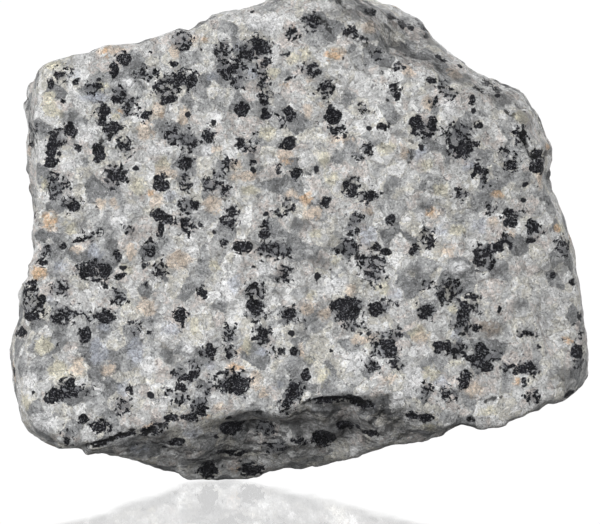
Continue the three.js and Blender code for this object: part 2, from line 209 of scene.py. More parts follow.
        (170, 398, 14, 10), (225, 290, 26, 22), (100, 385, 16, 12), (420, 350, 22, 14), (150, 365, 20, 18),
        (215, 120, 20, 14), (350, 235, 14, 16), (560, 297, 24, 16), (265, 270, 20, 14), (90, 135, 24, 18),
        (420, 215, 12, 12), (270, 160, 12, 8), (190, 345, 16, 14), (210, 150, 14, 14), (365, 180, 12, 8),
        (46, 420, 26, 20), (32, 378, 14, 16),
    ),
    Mineral.BLUISH: (
        (76, 77, 14, 9), (96, 99, 30, 9), (97, 253, 13, 17), (52, 297, 10, 11), (62, 266, 14, 12),
        (170, 196, 14, 12), (215, 78, 12, 8), (240, 51, 9, 7), (252, 75, 12, 8), (369, 236, 20, 20),
        (235, 284, 14, 18), (394, 295, 12, 12), (478, 226, 12, 16), (440, 232, 16, 11), (100, 350, 18, 24),
        (138, 350, 18, 26), (126, 386, 12, 18), (172, 328, 18, 14), (418, 155, 12, 14), (466, 168, 16, 12),
        (440, 405, 20, 12), (212, 365, 16, 9), (380, 349, 9, 8), (262, 350, 12, 9), (440, 380, 14, 12),
        (193, 432, 16, 8), (140, 447, 18, 8), (455, 335, 12, 12), (105, 325, 12, 10), (280, 385, 12, 8),
    ),
}

# Cracks and crevices on the broad face: half the width in pixels, how deep in millimetres, then the line's points.
CREVICES: tuple[tuple[float, float, tuple[tuple[float, float], ...]], ...] = (
    (1.7, 0.25, ((303, 402), (318, 399), (335, 396), (352, 399), (372, 403))),
    (2.2, 0.4, ((88, 444), (103, 441), (120, 434), (132, 430), (150, 431), (163, 424))),
    (1.9, 0.4, ((318, 19), (331, 33))),
    (2.0, 0.4, ((347, 36), (365, 47))),
    (1.6, 0.3, ((436, 62), (439, 70))),
    (1.6, 0.3, ((479, 90), (487, 97))),
    (1.6, 0.3, ((504, 112), (511, 116))),
    (1.6, 0.3, ((515, 105), (522, 108))),
    (2.4, 0.6, ((519, 132), (527, 148), (531, 158), (548, 153))),
    (1.8, 0.3, ((410, 142), (411, 155), (409, 163))),
    (1.9, 0.3, ((371, 421), (383, 409))),
    (1.4, 0.3, ((247, 412), (253, 411), (260, 412))),
    (1.5, 0.3, ((478, 400), (488, 399), (498, 395))),
    (1.6, 0.3, ((103, 141), (112, 138), (119, 132))),
    (1.6, 0.3, ((338, 3), (345, 8))),
)

# The stone's outline square to the broad face, [right, up] from the core, clockwise from its top left corner.
OUTLINE_TOP: tuple[Row, ...] = (
    (-43.4, 26.2), (-42.6, 27.9), (-41.3, 28.7), (-36.6, 30.0), (-33.8, 30.5), (-32.0, 31.3), (-30.5, 31.6),
    (-25.9, 31.8), (-21.0, 33.6), (-19.8, 34.1), (-17.5, 33.6), (-16.4, 34.4), (-14.1, 36.6), (-12.1, 37.2),
    (-6.9, 38.2), (-5.6, 38.7), (-3.8, 40.5), (-1.3, 41.3), (1.6, 41.5), (5.2, 41.0), (12.6, 39.3), (16.2, 38.4),
    (17.4, 37.5), (19.7, 36.7), (20.7, 35.6), (22.1, 33.1), (24.9, 30.8), (26.9, 29.0), (29.7, 27.2), (31.8, 26.6),
    (33.3, 25.7), (36.6, 24.8), (37.9, 23.8), (38.5, 21.8), (39.7, 20.7), (41.0, 17.4),
)
OUTLINE_RIGHT: tuple[Row, ...] = (
    (42.1, 15.1), (42.0, 13.4), (41.0, 10.8), (41.1, 9.5), (42.6, 6.1), (45.1, 0.5), (45.7, -1.6), (45.6, -4.3),
    (46.7, -12.8), (47.4, -16.4), (47.4, -22.0), (46.7, -23.8), (45.6, -25.2), (43.9, -26.4), (42.3, -27.0),
)
OUTLINE_BOTTOM: tuple[Row, ...] = (
    (41.0, -26.9), (39.7, -28.0), (38.0, -28.2), (36.7, -29.0), (35.1, -29.2), (33.9, -30.3), (32.6, -30.7),
    (29.0, -30.7), (26.2, -29.8), (24.8, -30.2), (22.8, -31.6), (21.3, -32.5), (14.3, -33.4), (10.2, -34.8),
    (5.2, -35.9), (2.3, -36.4), (0.3, -37.2), (-3.6, -37.2), (-5.6, -37.7), (-7.5, -38.9), (-15.2, -39.7),
    (-17.0, -39.5), (-18.4, -38.9), (-19.7, -37.5), (-25.9, -35.7), (-29.5, -34.8), (-31.6, -34.3),
    (-34.1, -34.6), (-34.8, -33.6), (-39.0, -33.8), (-41.3, -33.0), (-43.8, -31.3), (-45.1, -29.5),
)
OUTLINE_LEFT: tuple[Row, ...] = (
    (-45.9, -26.6), (-46.7, -23.0), (-47.4, -17.7), (-46.6, -15.4), (-45.6, -12.8), (-45.6, -10.8),
    (-45.9, -8.9), (-45.1, -7.2), (-43.9, -6.2), (-43.9, -4.3), (-43.1, -2.8), (-43.6, 0.8), (-43.1, 3.6),
    (-43.3, 7.0), (-44.4, 12.3), (-44.6, 15.4), (-44.3, 18.0), (-44.8, 21.3), (-44.3, 23.4),
)


def smoothstep(value: Points, low: float, high: float) -> Points:
    """An S-shaped rise: 0 at low and under it, 1 at high and over it, and t * t * (3 - 2 t) between them.

    Args:
        value: the numbers to raise.
        low: where the rise begins.
        high: where the rise ends.

    Returns:
        One share from 0 to 1 for each number.
    """
    t = np.clip((value - low) / (high - low), 0.0, 1.0)
    return t * t * (3.0 - 2.0 * t)


def draw(cell: Points, what: int) -> Points:
    """A steady random number from 0 to 1 for each cell: the part after the point of a large turned sine.

    Args:
        cell: whole numbers, one row of three for each cell.
        what: which of the cell's random numbers is drawn.

    Returns:
        One number for each cell.
    """
    turned = np.sin(cell @ np.array([127.1, 311.7, 74.7]) + what * 53.3) * 43758.5453
    return turned - np.floor(turned)


def draws(cell: Points, first: int) -> Points:
    """Three of a cell's steady random numbers, side by side."""
    return np.stack([draw(cell, first + axis) for axis in range(3)], -1)


def neighbours(points: Points, cell: float, first: int) -> list[tuple[Points, Points]]:
    """The 27 cells in and around the one each point lies in, each with its middle at a random place in it.

    Args:
        points: places in millimetres, one row each.
        cell: the cells' size in millimetres.
        first: the first of the three random numbers that place the middle.

    Returns:
        For each neighbour, its whole-number place and the way from its middle to the point, in cells.
    """
    home = np.floor(points / cell)
    steps = [np.array([n % 3, n // 3 % 3, n // 9]) - 1.0 for n in range(27)]
    return [(home + step, points / cell - home - step - draws(home + step, first)) for step in steps]


def into_scene(name: str, data: bpy.types.ID) -> bpy.types.Object:
    """Puts a mesh, lamp or camera into the scene as an object at the origin."""
    made = bpy.data.objects.new(name, data)
    bpy.context.collection.objects.link(made)
    return made


@dataclass(frozen=True)
class Photograph:
    """How the photograph sees the stone: square to the broad face, through a long lens."""

    width: int = 600
    height: int = 524
    pixels_per_mm: float = 6.1
    core: tuple[float, float] = (298.0, 240.0)  # the pixel over the core
    elevation: float = 15.0  # degrees over the level
    distance: float = 1.2  # metres from the core
    outline_depth: float = 13.0  # how far before the core the outline lies, in millimetres

    def to_drawing(self, pixels: Points) -> Points:
        """Turns pixels, one row of across and down each, into [right, up] from the core in millimetres."""
        return (pixels - self.core) * (1.0, -1.0) / self.pixels_per_mm

    def take(self, core: Vector) -> bpy.types.Object:
        """Makes the camera that sees the stone as the photograph does.

        Args:
            core: the stone's core, in metres.

        Returns:
            The camera, which the scene now uses.
        """
        tilt = math.radians(self.elevation)
        back = Vector((0.0, -math.cos(tilt), math.sin(tilt)))
        turn: Quaternion = (-back).to_track_quat("-Z", "Y")
        metre = self.pixels_per_mm / MM
        reach = self.distance - self.outline_depth * MM
        across = (self.width / 2 - self.core[0]) / metre
        down = (self.height / 2 - self.core[1]) / metre
        data = bpy.data.cameras.new("camera")
        data.sensor_width = 36.0
        data.lens = data.sensor_width * reach * metre / self.width
        data.clip_start, data.clip_end = 0.1, 20.0
        camera = into_scene("camera", data)
        camera.rotation_mode = "QUATERNION"
        camera.rotation_quaternion = turn
        camera.location = core + back * self.distance + turn @ Vector((across, -down, 0.0))
        bpy.context.scene.camera = camera
        return camera


@dataclass(frozen=True)
class Face:
    """A flat broken face. It passes through a point and faces along a direction, both [right, up, out]."""

    through: Row
    facing: Row

    def nearness(self, directions: Points) -> Points:
        """1 / reach of the face along each direction: facing . direction / facing . through."""
        facing = np.array(self.facing)
        return directions @ facing / (facing @ np.array(self.through))


@dataclass(frozen=True)
class Flake:
    """The hollow of a flake that broke off: a face that ends against a second one."""

    face: Face
    end: Face

    def nearness(self, directions: Points) -> Points:
        """1 / reach of the hollow along each direction: the smaller of its two faces' nearness."""
        return np.minimum(self.face.nearness(directions), self.end.nearness(directions))


@dataclass(frozen=True)
class Scars:
    """One size of chip scars: patches of about one cell, each lifted or sunk, and tipped."""

    cell: float  # millimetres
    level: float  # most that a patch is lifted or sunk, in millimetres
    tilt: float  # most that it is tipped, as rise over run
    blend: float  # how softly it runs into the next, as a share of the cell squared
    salt: int

    def height(self, points: Points) -> Points:
        """The scars' height: the mean of the patches around each point, weighted by exp(-distance squared / blend).

        Args:
            points: places in millimetres, one row each.

        Returns:
            One height in millimetres for each point.
        """
        height, weight = np.zeros(len(points)), np.zeros(len(points))
        first = DRAWS * self.salt
        for cell, way in neighbours(points, self.cell, first):
            near = np.exp(-(way**2).sum(1) / self.blend)
            tipped = ((draws(cell, first + 4) - 0.5) * way).sum(1) * 2.0 * self.tilt * self.cell
            height += near * ((draw(cell, first + 3) - 0.5) * 2.0 * self.level + tipped)
            weight += near
        return height / weight


@dataclass(frozen=True)
class Scatter:
    """Grains of one mineral strewn through the rock, one at most in each cell."""

    cell: float  # millimetres
    share: float  # of the cells that hold one
    radius: tuple[float, float]  # smallest and largest, in millimetres
    salt: int
    squash: float = 0.6  # most by which a grain is pressed flat along an axis

    def depth(self, points: Points) -> Points:
        """How far inside the nearest grain each point lies: radius - distance, largest of the cells around it.

        Args:
            points: places in millimetres, one row each.

        Returns:
            One depth in millimetres for each point, negative outside the grains.
        """
        deepest = np.full(len(points), OUTSIDE)
        small, large = self.radius
        first = DRAWS * self.salt
        for cell, way in neighbours(points, self.cell, first):
            squash = 1.0 + self.squash * draws(cell, first + 4)
            radius = small + (large - small) * draw(cell, first + 3)
            depth = radius - np.sqrt(((way * squash) ** 2).sum(1)) * self.cell
            held = draw(cell, first + 7) < self.share
            deepest = np.maximum(deepest, np.where(held, depth, OUTSIDE))
        return deepest


@dataclass(frozen=True)
class SideWall:
    """The wall around the stone, which keeps the outline over a middle band and draws in before and behind it."""

    outline: Points
    middle: float = 13.0  # out from the core
    waver: tuple[Row, ...] = ((3.5, 3.0, 1.0), (2.5, 7.0, 2.0))  # of that middle: by how much, times a turn, phase
    straight: float = 2.0  # half the depth of the band that keeps the full outline
    slope: float = 0.0035  # share of the radius lost for each millimetre, far behind the band
    front_slope: float = 0.002  # and far before it
    bend: float = 4.0  # how far beyond the band the wall takes to reach that slope
    ends: float = 32.0  # the wall is the same beyond this depth, which lies outside the stone
    detail_depth: float = 7.0  # how far behind the band the small notches of the outline last
    front_detail_depth: float = 16.0  # and how far before it
    calm_depth: float = 4.0  # how far behind the band the chip scars are held back
    front_calm_depth: float = 10.0  # and how far before it
    drop: float = 2.0  # how far the wall sinks behind the band, so that no scar stands out past the outline
    front_drop: float = 0.3  # and before it
    smoothing: float = math.radians(7.0)  # spacing of the radii averaged where the notches have gone

    def outline_radius(self, angle: Points) -> Points:
        """How far the outline lies from the core at each angle, where its line crosses that ray.

        Args:
            angle: radians from the right.

        Returns:
            One radius in millimetres for each angle: from x to / ray x (to - from), in cross products.
        """
        bearings = np.arctan2(self.outline[:, 1], self.outline[:, 0])
        order = np.argsort(bearings)
        corners = self.outline[order]
        turned = (angle + math.pi) % (2.0 * math.pi) - math.pi
        after = np.searchsorted(bearings[order], turned) % len(corners)
        start, end = corners[after - 1], corners[after]
        along = end - start
        ray = np.stack([np.cos(turned), np.sin(turned)], -1)
        crossed = start[:, 0] * end[:, 1] - start[:, 1] * end[:, 0]
        return crossed / (ray[:, 0] * along[:, 1] - ray[:, 1] * along[:, 0])

    def nearness(self, directions: Points) -> tuple[Points, Points]:
        """1 / reach of the wall along each direction, and how calm its chip scars are there.

        The radius is the smooth outline, plus the notches times exp(-(beyond / detail depth) squared), and all of
        it times 1 - slope * (hypot(beyond, bend) - bend), where beyond is the depth past the middle band. The band
        wavers as the wall goes round. Away from it the wall sinks by a further drop * (1 - calm), where the calm is
        exp(-(beyond / calm depth) squared).

        Args:
            directions: [right, up, out], one row each.

        Returns:
            The nearness and the calm, from 0 to 1, one of each for each direction.
        """
        flat = np.maximum(np.hypot(directions[:, 0], directions[:, 1]), 1e-9)
        angle = np.arctan2(directions[:, 1], directions[:, 0])
        turns = [self.outline_radius(angle + turn * self.smoothing) for turn in (-2, -1, 0, 1, 2)]
        smooth = np.mean(turns, axis=0)
        depth = np.clip(smooth * directions[:, 2] / flat, -self.ends, self.ends)
        middle = self.middle + sum(much * np.sin(times * angle + phase) for much, times, phase in self.waver)
        beyond = np.maximum(0.0, np.abs(depth - middle) - self.straight)
        before = depth > middle
        detail = np.exp(-((beyond / np.where(before, self.front_detail_depth, self.detail_depth)) ** 2))
        slope = np.where(before, self.front_slope, self.slope)
        drawn_in = slope * (np.hypot(beyond, self.bend) - self.bend)
        radius = (smooth + (self.outline_radius(angle) - smooth) * detail) * (1.0 - drawn_in)
        calm = np.exp(-((beyond / np.where(before, self.front_calm_depth, self.calm_depth)) ** 2))
        return flat / (radius - np.where(before, self.front_drop, self.drop) * (1.0 - calm)), calm


@dataclass
class Stone:
    """The lump of granite, one closed surface broken on every side, in place of its CAD node."""

    width: float = 95.0
    height: float = 82.0
    thickness: float = 54.0
    core: Row = (0.0, 2.7, 34.8)  # from the middle of the stone's box, and up from the underside
    lean: float = math.radians(15.0)  # of the broad face, back from upright
    steps: tuple[int, int, int] = (182, 157, 62)  # of the grid, over width, height and thickness
    edge_sharpness: float = 60.0
    drawn_down: float = 0.9  # how far the lowest part is drawn down before it is cut level
    drawn_up_to: float = 9.0
    rougher: float = 2.0  # times the scars of the broad face, away from it
    chips_rougher: float = 0.3  # by which share the chips grow there
    rim_chips: float = 0.5  # share of the chips left out where the wall keeps the outline
    behind_less_darkened: float = 0.7  # share by which the faces behind the core get less of the weathering and painted shade
    mica_sunk: float = 0.28  # how far the mica lies under the feldspar around it
    seen: Row = (0.12, 0.3)  # how far out a face turns from where the photograph shows its grains
    hidden: float = 3.0  # how far the strewn grains sink out of sight there
    depth_kept: float = 6.0  # the most that is kept of a depth inside or outside a grain
    grain_depth: float = 1.5  # how much deeper than wide a placed grain is
    wall: SideWall = field(
        default_factory=lambda: SideWall(np.array(OUTLINE_TOP + OUTLINE_RIGHT + OUTLINE_BOTTOM + OUTLINE_LEFT))
    )
    broad: tuple[Face, ...] = (
        Face((-10, 0, 25.5), (-0.05, 0.03, 1)),
        Face((20, 0, 26.7), (0.2, 0.02, 1)),
    )
    beside: tuple[Face, ...] = (
        Face((-8, 35, 24.5), (-0.1, 0.62, 0.78)),  # brow
        Face((39.5, 13.5, 20.5), (0.9, 0.28, 0.36)),  # end of the shoulder
        Face((-42, 26, 22.5), (-0.937, 0.064, 0.342)),  # left band
        Face((-46, -33, 17), (-0.6, -0.55, 0.58)),  # lower left
    )
    # The other broken faces, which the finish paints darker and greyer: partly weathering, partly painted shade where
    # they turn from the light.
    weathered_and_shaded: tuple[Face, ...] = (
        Face((11.2, 31.9, 26.1), (0.43, 0.76, 0.48)),  # shoulder
        Face((2, -10, -28.5), (0.1, 0.3, -1)),  # back
        Face((-34, 4, -20), (-0.75, 0.3, -0.62)),
        Face((34, -4, -17), (0.78, 0.16, -0.62)),
        Face((-6, 30, -16), (-0.2, 0.84, -0.5)),
        Face((27, 22, -8), (0.62, 0.66, -0.4)),
        Face((35, -27, -8), (0.6, -0.66, -0.3)),
    )
    flakes: tuple[Flake, ...] = (
        Flake(Face((-8, -28.5, 26.1), (0.121, -0.81, 0.574)), Face((18, -27.4, 26.2), (-0.33, -0.55, 0.77))),
        Flake(Face((41, 9.5, 14), (0.75, -0.62, 0.2)), Face((41, 10.8, 14), (0.62, 0.75, 0.2))),
        Flake(Face((-12, 24, -22), (-0.3, 0.75, -0.6)), Face((-12, 16, -27), (0.5, 0.1, -0.86))),
    )
    scars: tuple[Scars, ...] = (
        Scars(21.0, 0.8, 0.08, 0.075, 1),
        Scars(10.0, 0.55, 0.12, 0.13, 2),
        Scars(5.2, 0.3, 0.12, 0.16, 3),
    )
    chips: tuple[Scars, ...] = (Scars(2.7, 0.24, 0.18, 0.12, 4), Scars(1.5, 0.1, 0.14, 0.14, 5))
    scatter: tuple[tuple[Mineral, Scatter], ...] = (
        (Mineral.MICA, Scatter(4.8, 0.75, (0.6, 2.0), 11)),
        (Mineral.FLECKED, Scatter(6.4, 0.7, (1.2, 3.1), 12)),
        (Mineral.SMOKY_AND_SHADE, Scatter(9.0, 0.35, (1.0, 2.2), 13)),
        (Mineral.RUST, Scatter(12.0, 0.3, (0.5, 1.0), 14)),
        (Mineral.PEACH, Scatter(7.2, 0.6, (1.0, 2.2), 15)),
        (Mineral.CREAM, Scatter(8.2, 0.6, (1.0, 2.1), 16)),
        (Mineral.WHITE, Scatter(8.5, 0.65, (1.3, 2.6), 17)),
        (Mineral.BLUISH, Scatter(9.5, 0.4, (1.0, 2.0), 18)),
    )

    def stand(self) -> Points:
        """Turns [right, up, out] upright, as rows: right along +X, and out level but for the lean."""
        sine, cosine = math.sin(self.lean), math.cos(self.lean)
        return np.array([[1.0, 0.0, 0.0], [0.0, sine, cosine], [0.0, -cosine, sine]])

    def grid(self) -> tuple[Points, Points]:
        """The directions to look along: the points of a box's six grids, with the seams between them merged.

        Returns:
            The box's points, [right, up, out] in millimetres, and its quads, four point numbers each, facing out.
        """
        corners, quads, count = [], [], 0
        for axis in range(3):
            for side in (0, 1):
                first, second = ((axis + 1) % 3, (axis + 2) % 3)[:: 1 if side else -1]
                along, up = np.indices((self.steps[first] + 1, self.steps[second] + 1))
                plate = np.empty((*along.shape, 3), int)
                plate[..., first], plate[..., second] = along, up
                plate[..., axis] = side * self.steps[axis]
                number = np.arange(along.size).reshape(along.shape) + count
                ring = (number[:-1, :-1], number[1:, :-1], number[1:, 1:], number[:-1, 1:])
                quads.append(np.stack(ring, -1).reshape(-1, 4))
                corners.append(plate.reshape(-1, 3))
                count += along.size
        points, merged = np.unique(np.concatenate(corners), axis=0, return_inverse=True)
        size = np.array([self.width, self.height, self.thickness])
        return (points / self.steps - 0.5) * size, merged.reshape(-1)[np.concatenate(quads)]

    def surface(self, directions: Points) -> tuple[Points, Points]:
        """Looks out from the core along each direction for the broken surface.

        The reach is 1 / nearness, where nearness is the p-norm of that of the broad face, the wall, the other faces
        and the flakes. The scars then raise it along the ray. They are rougher away from the broad face, and calm
        where the wall keeps the outline.

        Args:
            directions: [right, up, out], one row each.

        Returns:
            One point of the surface for each direction, [right, up, out] from the core in millimetres, and how much
            the finish paints it darker and greyer, partly as weathering and partly as painted shade: 0 on the fresh
            faces, which are the broad one, those beside it and the rim of the wall, 1 on the others and 0.3 behind
            the core.
        """
        broad = np.max([face.nearness(directions) for face in self.broad], axis=0)
        wall, calm = self.wall.nearness(directions)
        beside = [face.nearness(directions) for face in self.beside]
        weathered_and_shaded = [form.nearness(directions) for form in (*self.weathered_and_shaded, *self.flakes)]
        every = np.maximum(np.stack([broad, wall, *beside, *weathered_and_shaded]), 0.0)
        nearness = (every**self.edge_sharpness).sum(0) ** (1.0 / self.edge_sharpness)
        points = directions / nearness[:, None]
        off_broad = 1.0 - smoothstep(broad / nearness, 0.8, 1.0)
        kept = calm * smoothstep(wall / nearness, 0.85, 1.0)
        large = sum(scars.height(points) for scars in self.scars) * (1.0 + (self.rougher - 1.0) * off_broad)
        small = sum(scars.height(points) for scars in self.chips) * (1.0 + self.chips_rougher * off_broad)
        relief = large * (1.0 - kept) + small * (1.0 - self.rim_chips * kept)
        unit = directions / np.linalg.norm(directions, axis=1)[:, None]
        # How far each point lies from the fresh faces: the finish paints the rest darker and greyer, partly as
        # weathering and partly as painted shade.
        fresh = np.max([broad, wall * np.minimum(1.0, 2.0 * calm), *beside], axis=0)
        off_fresh = 1.0 - smoothstep(fresh / nearness, 0.9, 0.99)
        behind = smoothstep(-unit[:, 2], -0.2, 0.3)
        return points + unit * relief[:, None], off_fresh * (1.0 - self.behind_less_darkened * behind)

    def settle(self, points: Points) -> Points:
        """Draws the lowest part down a little, then cuts the underside level by shortening each ray to it.

        Args:
            points: [right, up, out] from the core, in millimetres.

        Returns:
            The points upright, from the core, in millimetres.
        """
        upright = points @ self.stand()
        level = self.core[2]
        low = 1.0 - smoothstep(upright[:, 2] + level, self.drawn_down, self.drawn_up_to)
        upright[:, 2] -= self.drawn_down * low
        short = np.where(upright[:, 2] < -level, -level / np.minimum(upright[:, 2], -1e-9), 1.0)
        return upright * short[:, None]

    @staticmethod
    def normals(points: Points, quads: Points) -> Points:
        """The direction each point's surface faces: the sum of its quads' diagonals crossed, made one long.

        Args:
            points: places, one row each.
            quads: four point numbers each.

        Returns:
            One direction of length 1 for each point.
        """
        corner = points[quads]
        facing = np.cross(corner[:, 2] - corner[:, 0], corner[:, 3] - corner[:, 1])
        sums = [np.bincount(quads.reshape(-1), np.repeat(part, 4), minlength=len(points)) for part in facing.T]
        total = np.stack(sums, -1)
        return total / np.maximum(np.linalg.norm(total, axis=1), 1e-12)[:, None]

    def placed_depth(self, rows: tuple[Row, ...], seen: Points, photograph: Photograph) -> Points:
        """How far inside the nearest of the placed grains each seen point lies, largest of them all.

        A grain is an egg around the surface point nearest its middle. With the offset scaled by the egg's half
        sizes, k0 its length and k1 its length scaled again, the depth is k0 * (1 - k0) / k1.

        Args:
            rows: the grains, as in PLACED.
            seen: the points the photograph sees, [right, up, out] in millimetres.
            photograph: turns pixels into millimetres.

        Returns:
            One depth in millimetres for each seen point, negative outside the grains.
        """
        deepest = np.full(len(seen), OUTSIDE)
        for row in rows:
            middle = photograph.to_drawing(np.array(row[:2]))
            across, high = np.array(row[2:4]) / 2.0 / photograph.pixels_per_mm
            turn = math.radians(row[4]) if len(row) > 4 else 0.0
            way = seen[:, :2] - middle
            out = seen[:, 2] - seen[np.argmin((way**2).sum(1)), 2]
            along = way[:, 0] * math.cos(turn) - way[:, 1] * math.sin(turn)
            aside = way[:, 0] * math.sin(turn) + way[:, 1] * math.cos(turn)
            half = np.array([across, high, max(across, high) + self.grain_depth])
            scaled = np.stack([along, aside, out], -1) / half
            length = np.linalg.norm(scaled, axis=1)
            again = np.maximum(np.linalg.norm(scaled / half, axis=1), 1e-6)
            deepest = np.maximum(deepest, length * (1.0 - length) / again)
        return deepest

    def grains(self, points: Points, normals: Points, photograph: Photograph) -> dict[Mineral, Points]:
        """How far inside each mineral's grains every point lies: placed ones where seen, strewn ones elsewhere.

        Args:
            points: the surface, [right, up, out] in millimetres.
            normals: the direction each point faces, [right, up, out].
            photograph: which side it sees, and where a pixel lies on it.

        Returns:
            For each mineral, one depth in millimetres for each point.
        """
        seen = smoothstep(normals[:, 2], *self.seen)
        front = normals[:, 2] > 0.0
        depths: dict[Mineral, Points] = {}
        for mineral, scatter in self.scatter:
            strewn = scatter.depth(points) - self.hidden * seen
            strewn[front] = np.maximum(strewn[front], self.placed_depth(PLACED[mineral], points[front], photograph))
            depths[mineral] = np.clip(strewn, -self.depth_kept, self.depth_kept)
        return depths

    def crevices(self, points: Points, normals: Points, photograph: Photograph) -> tuple[Points, Points]:
        """The cracks of the broad face: how deep each point sinks, and how far inside a crack it lies.

        The groove is depth * exp(-(distance to the line / half the width) squared).

        Args:
            points: the surface, [right, up, out] in millimetres.
            normals: the direction each point faces, [right, up, out].
            photograph: turns pixels into millimetres.

        Returns:
            The sinking and the depth inside a crack, both in millimetres.
        """
        sunk = np.zeros(len(points))
        inside = np.full(len(points), -self.depth_kept)
        away = np.where(normals[:, 2] > 0.0, 0.0, FAR)
        for half, deep, line in CREVICES:
            corners = photograph.to_drawing(np.array(line))
            half /= photograph.pixels_per_mm
            nearest = np.full(len(points), FAR)
            for start, end in zip(corners[:-1], corners[1:]):
                run = end - start
                way = points[:, :2] - start
                share = np.clip(way @ run / (run @ run), 0.0, 1.0)
                nearest = np.minimum(nearest, np.linalg.norm(way - share[:, None] * run, axis=1))
            nearest = np.maximum(nearest, away)
            sunk = np.maximum(sunk, deep * np.exp(-((nearest / half) ** 2)))
            inside = np.maximum(inside, half - nearest)
        return sunk, np.minimum(inside, self.depth_kept)

    def build(self, photograph: Photograph) -> bpy.types.Object:
        """Makes the stone's mesh, with its grains as attributes, in metres and in its place.

        Args:
            photograph: places the grains of the broad face.

        Returns:
            The stone's object, at the origin.
        """
        directions, quads = self.grid()
        points, weathered_and_shaded = self.surface(directions)
        normals = self.normals(points, quads)
        sunk, cracked = self.crevices(points, normals, photograph)
        depths = self.grains(points, normals, photograph)
        sunk += self.mica_sunk * smoothstep(depths[Mineral.MICA], -0.15, 0.5)
        points -= points / np.linalg.norm(points, axis=1)[:, None] * sunk[:, None]
        upright = self.settle(points) + self.core
        upright[np.abs(upright[:, 2]) < 1e-6, 2] = 0.0
        mesh = bpy.data.meshes.new("granite_lump")
        mesh.from_pydata(upright * MM, [], quads)
        mesh.update()
        mesh.shade_smooth()
        kept = {"crevice": cracked, "weathered_and_shaded": weathered_and_shaded, **{mineral.value: depth for mineral, depth in depths.items()}}
        for name, values in kept.items():
            mesh.attributes.new(name, "FLOAT", "POINT").data.foreach_set("value", values.astype(np.float32))
        return into_scene("granite_lump", mesh)


class ShaderTree:
    """The nodes of a material or of the surroundings, with one short method for each kind that is used."""

    def __init__(self, owner: bpy.types.Material | bpy.types.World) -> None:
        """Starts from no nodes at all."""
        owner.use_nodes = True
        self.tree = owner.node_tree
        self.tree.nodes.clear()

    def add(self, kind: str, values: dict[int | str, object] | None = None, **settings: object) -> bpy.types.Node:
        """Adds a node.

        Args:
            kind: Blender's name for it.
            values: what its sockets are linked or set to, by number or name.
            settings: its other properties, which are set first.

        Returns:
            The node.
        """
        node = self.tree.nodes.new(kind)
        for name, setting in settings.items():
            setattr(node, name, setting)
        for name, value in (values or {}).items():
            socket = node.inputs[name]
            if isinstance(value, bpy.types.NodeSocket):
                self.tree.links.new(value, socket)
            else:
                socket.default_value = (*value, 1.0) if socket.type == "RGBA" else value
        return node

    def math(self, operation: str, *values: object) -> Socket:
        """One step of arithmetic on numbers."""
        return self.add("ShaderNodeMath", dict(enumerate(values)), operation=operation).outputs[0]

    def vector(self, operation: str, *values: object) -> Socket:
        """One step of arithmetic on places, which gives a place, or a number where it finds one."""
        outputs = self.add("ShaderNodeVectorMath", dict(enumerate(values)), operation=operation).outputs
        return outputs["Value" if operation in ("DOT_PRODUCT", "LENGTH") else "Vector"]

    def place(self) -> Socket:
        """Where a point of the object lies, in metres."""
        return self.add("ShaderNodeTexCoord").outputs["Object"]

    def axes(self, place: Socket) -> bpy.types.NodeOutputs:
        """The three numbers of a place."""
        return self.add("ShaderNodeSeparateXYZ", {0: place}).outputs

    def attribute(self, name: str) -> Socket:
        """A number kept at each point of the mesh."""
        return self.add("ShaderNodeAttribute", attribute_name=name).outputs["Fac"]

    def noise(self, at: Socket, size: float, detail: float = 2.0, roughness: float = 0.5) -> Socket:
        """Smooth noise from about -0.5 to 0.5, with features of a size in the units of its place."""
        values = {"Vector": at, "Scale": 1.0 / size, "Detail": detail, "Roughness": roughness}
        return self.math("SUBTRACT", self.add("ShaderNodeTexNoise", values).outputs["Fac"], 0.5)

    def cells(self, at: Socket, size: float, feature: str = "F1") -> bpy.types.Node:
        """Voronoi cells of a size in the units of their place."""
        return self.add("ShaderNodeTexVoronoi", {"Vector": at, "Scale": 1.0 / size}, feature=feature)

    def split(self, colour: Socket) -> bpy.types.NodeOutputs:
        """The three numbers of a colour, which are a cell's random draws."""
        return self.add("ShaderNodeSeparateColor", {0: colour}).outputs

    def turned(self, at: Socket, turn: Row, stretch: Row) -> Socket:
        """A place turned and then squeezed, so that a pattern there is turned and stretched."""
        values = {"Vector": at, "Rotation": turn, "Scale": stretch}
        return self.add("ShaderNodeMapping", values, vector_type="TEXTURE").outputs[0]

    def pick(self, share: object, first: object, second: object) -> Socket:
        """One number passed over into another by a share."""
        return self.add("ShaderNodeMix", {0: share, 2: first, 3: second}).outputs[0]

    def rise(self, value: object, low: float, high: float, first: float = 0.0, last: float = 1.0) -> Socket:
        """An S-shaped rise from first at low to last at high."""
        values = dict(enumerate((value, low, high, first, last)))
        return self.add("ShaderNodeMapRange", values, interpolation_type="SMOOTHSTEP").outputs[0]

    def mix(self, share: object, under: object, over: object, blend: str = "MIX") -> Socket:
        """One colour laid over another by a share."""
        values = {0: share, 6: under, 7: over}
        return self.add("ShaderNodeMix", values, data_type="RGBA", blend_type=blend).outputs[2]

    def ramp(self, value: Socket, stops: tuple[tuple[float, Row], ...]) -> Socket:
        """A colour picked by a number from 0 to 1 along a row of stops."""
        node = self.add("ShaderNodeValToRGB", {0: value})
        elements = node.color_ramp.elements
        while len(elements) < len(stops):
            elements.new(1.0)
        for element, (place, colour) in zip(elements, stops):
            element.position = place
            element.color = (*colour, 1.0)
        return node.outputs[0]


